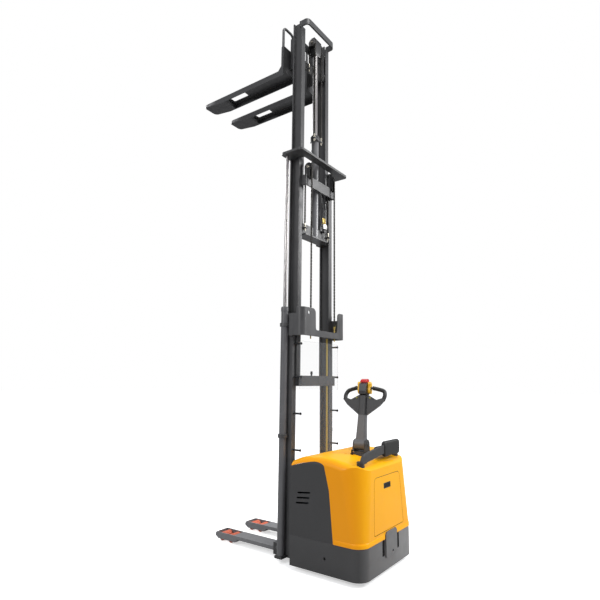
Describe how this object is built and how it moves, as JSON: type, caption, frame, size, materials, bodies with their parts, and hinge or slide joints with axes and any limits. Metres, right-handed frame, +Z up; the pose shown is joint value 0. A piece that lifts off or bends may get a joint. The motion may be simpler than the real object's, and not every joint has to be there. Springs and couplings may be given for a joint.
{
  "type": "pedestrian stacker truck",
  "caption": "Pedestrian stacker truck: an amber hood and tiller over a steered drive wheel, a telescopic mast raised to full height with its forks aloft, and support legs on rollers.",
  "frame": {"origin": "on the floor, on the truck's centre line, half way between the rear coupling plate and the fork tips", "axes": "+Z up, +Y towards the fork tips, +X to the operator's right when facing the forks"},
  "size_m": [0.86, 2.1, 5.02],
  "materials": {
    "hood_plastic": "satin moulded amber plastic",
    "panel_plastic": "grained dark grey plastic",
    "dark_paint": "dark grey powder coat on steel",
    "mid_paint": "mid grey powder coat on steel",
    "zinc": "zinc plated steel",
    "chrome": "hard chrome, polished",
    "bare_steel": "machined steel with an oil film",
    "clear_sheet": "clear polycarbonate sheet",
    "black_plastic": "black nylon",
    "soft_black": "soft black foam rubber",
    "yellow_hose": "yellow-brown plated pipe",
    "roller_pu": "red-orange polyurethane",
    "tyre_rubber": "solid dark tyre compound",
    "tiller_plastic": "dark grey glass-filled plastic",
    "yellow_plastic": "yellow plastic",
    "red_plastic": "red plastic",
    "battery_case": "coated steel battery tray",
    "cast_drive": "cast drive unit, painted dark"
  },
  "bodies": {
    "chassis": {"chassis_frame": "dark_paint", "side_panels": "panel_plastic", "hood": "hood_plastic", "rear_door": "hood_plastic", "skirt": "dark_paint", "coupling_plate": "dark_paint", "mast_outer": "dark_paint", "mast_guard_screen": "clear_sheet", "screen_standoffs": "black_plastic", "hydraulic_pipe": "yellow_hose", "lift_cylinders": "dark_paint", "chain_bolts_outer": "zinc", "mast_chains_rear": "bare_steel", "support_legs": "mid_paint", "battery": "battery_case", "pump_unit": "cast_drive"},
    "mast_middle": {"mast_middle": "dark_paint", "lift_rods": "chrome", "mast_chains_front": "bare_steel"},
    "mast_inner": {"mast_inner": "dark_paint", "chain_bolts_inner": "zinc", "free_lift_barrel": "mid_paint", "lift_valve": "bare_steel", "carriage_chains_rear": "bare_steel"},
    "free_lift": {"free_lift_rod": "chrome"},
    "carriage": {"carriage": "dark_paint", "chain_bolts_carriage": "zinc", "fork_right": "dark_paint", "fork_left": "dark_paint", "carriage_chains_front": "bare_steel"},
    "outer_head_rollers": {"rollers_outer_head": "bare_steel"},
    "middle_foot_rollers": {"rollers_middle_foot": "bare_steel"},
    "middle_head_rollers": {"rollers_middle_head": "bare_steel"},
    "inner_foot_rollers": {"rollers_inner_foot": "bare_steel"},
    "carriage_low_rollers": {"rollers_carriage_low": "bare_steel"},
    "carriage_high_rollers": {"rollers_carriage_high": "bare_steel"},
    "mast_sheave_pair": {"mast_sheaves": "black_plastic"},
    "crosshead_sheave_pair": {"crosshead_sheaves": "bare_steel"},
    "rear_load_rollers": {"load_rollers_rear": "roller_pu"},
    "front_load_rollers": {"load_rollers_front": "roller_pu"},
    "left_caster": {"caster_fork_left": "zinc"},
    "right_caster": {"caster_fork_right": "zinc"},
    "left_caster_wheel": {"caster_wheel_left": "tyre_rubber"},
    "right_caster_wheel": {"caster_wheel_right": "tyre_rubber"},
    "drive": {"turret": "cast_drive", "drive_unit": "cast_drive"},
    "drive_wheel": {"drive_wheel": "tyre_rubber"},
    "tiller": {"tiller_arm": "tiller_plastic", "tiller_head": "tiller_plastic", "handle_grips": "soft_black"},
    "belly_button": {"belly_button": "red_plastic"},
    "throttle": {"throttle": "yellow_plastic"},
    "lift_buttons": {"lift_buttons": "yellow_plastic"},
    "lower_buttons": {"lower_buttons": "yellow_plastic"},
    "emergency_stop": {"emergency_stop": "red_plastic"},
    "key": {"key_switch": "black_plastic"},
    "left_guard": {"guard_arm_left": "panel_plastic", "guard_pad_left": "soft_black"},
    "right_guard": {"guard_arm_right": "panel_plastic", "guard_pad_right": "soft_black"}
  },
  "joints": [
    {"name": "mast_lift", "type": "slide", "parent": "chassis", "child": "mast_middle", "axis": [0, 0, 1], "range_m": [-1.345, 0], "deforming": ["mast_chains_rear"]},
    {"name": "inner_lift", "type": "slide", "parent": "mast_middle", "child": "mast_inner", "axis": [0, 0, 1], "range_m": [-1.345, 0], "deforming": ["mast_chains_front"]},
    {"name": "free_lift", "type": "slide", "parent": "mast_inner", "child": "free_lift", "axis": [0, 0, 1], "range_m": [-0.8735, 0], "deforming": ["carriage_chains_rear"]},
    {"name": "carriage_lift", "type": "slide", "parent": "free_lift", "child": "carriage", "axis": [0, 0, 1], "range_m": [-0.8735, 0], "deforming": ["carriage_chains_front"]},
    {"name": "outer_head_roller_spin", "type": "hinge", "parent": "chassis", "child": "outer_head_rollers", "pos_m": [0, -0.255, 1.99], "axis": [1, 0, 0], "range_deg": [0, 1860]},
    {"name": "middle_foot_roller_spin", "type": "hinge", "parent": "mast_middle", "child": "middle_foot_rollers", "pos_m": [0, -0.238, 1.458], "axis": [1, 0, 0], "range_deg": [-1860, 0]},
    {"name": "middle_head_roller_spin", "type": "hinge", "parent": "mast_middle", "child": "middle_head_rollers", "pos_m": [0, -0.238, 3.483], "axis": [1, 0, 0], "range_deg": [0, 1860]},
    {"name": "inner_foot_roller_spin", "type": "hinge", "parent": "mast_inner", "child": "inner_foot_rollers", "pos_m": [0, -0.255, 2.84], "axis": [1, 0, 0], "range_deg": [-1860, 0]},
    {"name": "carriage_low_roller_spin", "type": "hinge", "parent": "carriage", "child": "carriage_low_rollers", "pos_m": [0, -0.238, 4.64], "axis": [1, 0, 0], "range_deg": [-2415, 0]},
    {"name": "carriage_high_roller_spin", "type": "hinge", "parent": "carriage", "child": "carriage_high_rollers", "pos_m": [0, -0.238, 4.862], "axis": [1, 0, 0], "range_deg": [0, 2415]},
    {"name": "mast_sheave_spin", "type": "hinge", "parent": "mast_middle", "child": "mast_sheave_pair", "pos_m": [0, -0.358, 3.45], "axis": [1, 0, 0], "range_deg": [-2030, 0]},
    {"name": "crosshead_sheave_spin", "type": "hinge", "parent": "free_lift", "child": "crosshead_sheave_pair", "pos_m": [0, -0.29, 4.88], "axis": [1, 0, 0], "range_deg": [-1392, 0]},
    {"name": "rear_load_roller_spin", "type": "hinge", "parent": "chassis", "child": "rear_load_rollers", "pos_m": [0, 0.44, 0.036], "axis": [1, 0, 0], "continuous": true},
    {"name": "front_load_roller_spin", "type": "hinge", "parent": "chassis", "child": "front_load_rollers", "pos_m": [0, 0.55, 0.036], "axis": [1, 0, 0], "continuous": true},
    {"name": "left_caster_swivel", "type": "hinge", "parent": "chassis", "child": "left_caster", "pos_m": [-0.3, -0.88, 0.18], "axis": [0, 0, 1], "continuous": true},
    {"name": "left_caster_spin", "type": "hinge", "parent": "left_caster", "child": "left_caster_wheel", "pos_m": [-0.3, -0.92, 0.0625], "axis": [1, 0, 0], "continuous": true},
    {"name": "right_caster_swivel", "type": "hinge", "parent": "chassis", "child": "right_caster", "pos_m": [0.3, -0.88, 0.18], "axis": [0, 0, 1], "continuous": true},
    {"name": "right_caster_spin", "type": "hinge", "parent": "right_caster", "child": "right_caster_wheel", "pos_m": [0.3, -0.92, 0.0625], "axis": [1, 0, 0], "continuous": true},
    {"name": "steer", "type": "hinge", "parent": "chassis", "child": "drive", "pos_m": [0, -0.788, 0.36], "axis": [0, 0, 1], "range_deg": [-195, 5]},
    {"name": "drive_wheel_spin", "type": "hinge", "parent": "drive", "child": "drive_wheel", "pos_m": [0, -0.788, 0.115], "axis": [-0.0872, 0.9962, 0], "continuous": true},
    {"name": "tiller_tilt", "type": "hinge", "parent": "drive", "child": "tiller", "pos_m": [0, -0.788, 0.935], "axis": [-0.0872, 0.9962, 0], "range_deg": [-9, 61]},
    {"name": "throttle_turn", "type": "hinge", "parent": "tiller", "child": "throttle", "pos_m": [0.08702, -0.78039, 1.39702], "axis": [-0.0872, 0.9962, 0], "range_deg": [-35, 35]},
    {"name": "belly_button_press", "type": "slide", "parent": "tiller", "child": "belly_button", "axis": [0.1558, 0.0136, 0.9877], "range_m": [-0.007, 0]},
    {"name": "lift_button_press", "type": "slide", "parent": "tiller", "child": "lift_buttons", "axis": [-0.9839, -0.0861, 0.1564], "range_m": [-0.002, 0]},
    {"name": "lower_button_press", "type": "slide", "parent": "tiller", "child": "lower_buttons", "axis": [-0.9839, -0.0861, 0.1564], "range_m": [-0.002, 0]},
    {"name": "emergency_stop_press", "type": "slide", "parent": "chassis", "child": "emergency_stop", "axis": [0, 0, 1], "range_m": [-0.006, 0]},
    {"name": "key_turn", "type": "hinge", "parent": "chassis", "child": "key", "pos_m": [-0.099, -0.757, 0.86], "axis": [0, 0, 1], "range_deg": [0, 90]},
    {"name": "left_guard_fold", "type": "hinge", "parent": "chassis", "child": "left_guard", "pos_m": [-0.312, -0.96, 0.84], "axis": [0, 0, 1], "range_deg": [-90, 0]},
    {"name": "right_guard_fold", "type": "hinge", "parent": "chassis", "child": "right_guard", "pos_m": [0.32, -0.935, 0.84], "axis": [0, 0, 1], "range_deg": [0, 90]}
  ],
  "couplings": [
    {"joint": "inner_lift", "follows": "mast_lift", "ratio": 1},
    {"joint": "carriage_lift", "follows": "free_lift", "ratio": 1},
    {"joint": "outer_head_roller_spin", "follows": "mast_lift", "rad_per_m": -24.096},
    {"joint": "middle_foot_roller_spin", "follows": "mast_lift", "rad_per_m": 24.096},
    {"joint": "middle_head_roller_spin", "follows": "mast_lift", "rad_per_m": -24.096},
    {"joint": "inner_foot_roller_spin", "follows": "mast_lift", "rad_per_m": 24.096},
    {"joint": "carriage_low_roller_spin", "follows": "free_lift", "rad_per_m": 48.193},
    {"joint": "carriage_high_roller_spin", "follows": "free_lift", "rad_per_m": -48.193},
    {"joint": "mast_sheave_spin", "follows": "mast_lift", "rad_per_m": 26.316},
    {"joint": "crosshead_sheave_spin", "follows": "free_lift", "rad_per_m": 27.778},
    {"joint": "right_guard_fold", "follows": "left_guard_fold", "ratio": -1}
  ]
}
